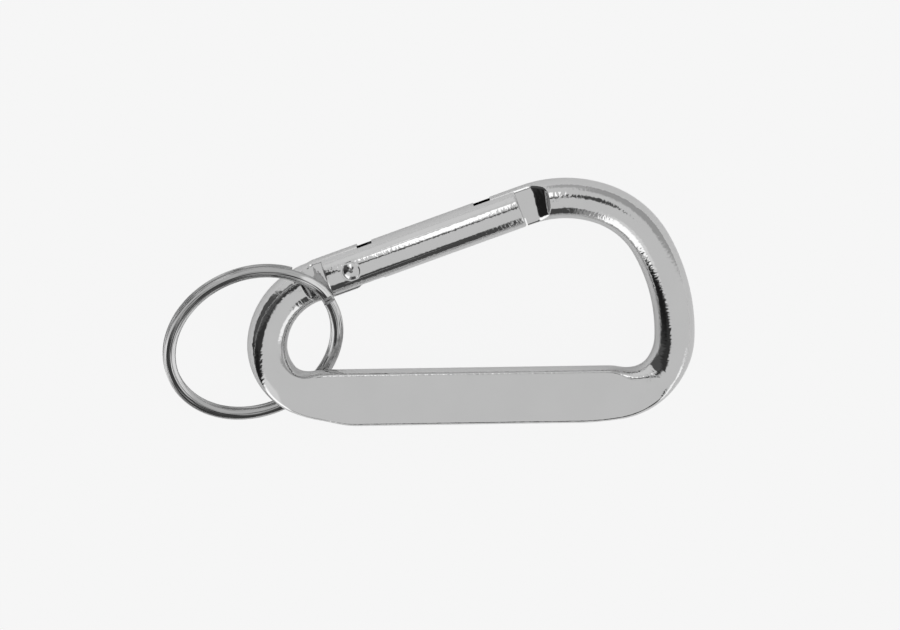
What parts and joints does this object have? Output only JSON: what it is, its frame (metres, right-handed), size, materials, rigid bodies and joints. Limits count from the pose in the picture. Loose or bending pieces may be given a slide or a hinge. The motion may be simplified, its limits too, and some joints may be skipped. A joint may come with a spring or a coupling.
{
  "type": "carabiner keychain",
  "caption": "Small D-shaped carabiner of bent round rod with a flat spine and a sprung gate, carrying a split ring for keys.",
  "frame": {"origin": "middle of the spine's front flat", "axes": "+X along the spine towards the nose end, +Y from the spine across the window to the gate, +Z out of the front flat"},
  "size_m": [0.0923, 0.0434, 0.0171],
  "materials": {
    "polished_aluminium": "polished",
    "gate_aluminium": "polished",
    "rivet_aluminium": "polished",
    "spring_steel": "drawn wire",
    "plunger_steel": "turned",
    "nickel_plated_steel": "nickel plated"
  },
  "bodies": {
    "body": {"body": "polished_aluminium"},
    "gate": {"gate": "gate_aluminium", "hinge_rivet": "rivet_aluminium", "gate_spring": "spring_steel"},
    "plunger": {"spring_plunger": "plunger_steel"},
    "ring": {"split_ring": "nickel_plated_steel"}
  },
  "joints": [
    {"name": "gate_hinge", "type": "hinge", "parent": "body", "child": "gate", "pos_m": [-0.02064, 0.02314, -0.002], "axis": [0, 0, -1], "range_deg": [0, 30], "stiffness_Nm_per_rad": 0.06, "springref_deg": -34.38},
    {"name": "plunger_slide", "type": "slide", "parent": "gate", "child": "plunger", "axis": [0.9441, 0.3297, 0], "range_m": [0, 0.00095], "deforming": ["gate_spring"]},
    {"name": "ring_swing", "type": "hinge", "parent": "body", "child": "ring", "pos_m": [-0.03386, 0.00561, -0.002], "axis": [0.7986, 0.6018, 0], "range_deg": [0, 105]}
  ],
  "couplings": [
    {"joint": "plunger_slide", "follows": "gate_hinge", "m_per_rad": 0.0018}
  ]
}
